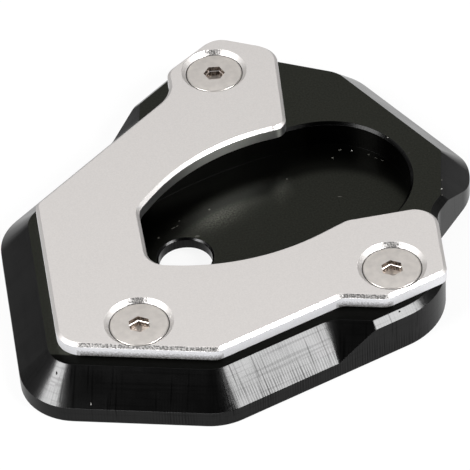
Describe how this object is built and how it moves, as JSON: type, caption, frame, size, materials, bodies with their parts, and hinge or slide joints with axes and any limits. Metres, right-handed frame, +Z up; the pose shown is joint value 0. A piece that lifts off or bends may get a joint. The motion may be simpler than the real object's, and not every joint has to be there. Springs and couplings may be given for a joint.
{
  "type": "kickstand foot enlarger",
  "caption": "Wide bevelled metal foot for a motorcycle side stand, with a shallow pocket, a C-shaped clamp plate over its edge and countersunk socket screws.",
  "frame": {"origin": "middle of the bounding box's underside, on the ground plane", "axes": "+Z up, out of the foot pocket; +X square to the long straight left side, towards the screw on the right; +Y towards the rear screw"},
  "size_m": [0.1003, 0.106, 0.013],
  "materials": {
    "black_anodised_aluminium": "milled, black anodised, satin",
    "clear_anodised_aluminium": "bead blasted, clear anodised, cut bevels bright",
    "stainless_steel": "satin"
  },
  "bodies": {
    "root": {"base_plate": "black_anodised_aluminium", "clamp_plate": "clear_anodised_aluminium", "screw_left": "stainless_steel", "screw_right": "stainless_steel", "screw_rear": "stainless_steel"}
  },
  "joints": []
}
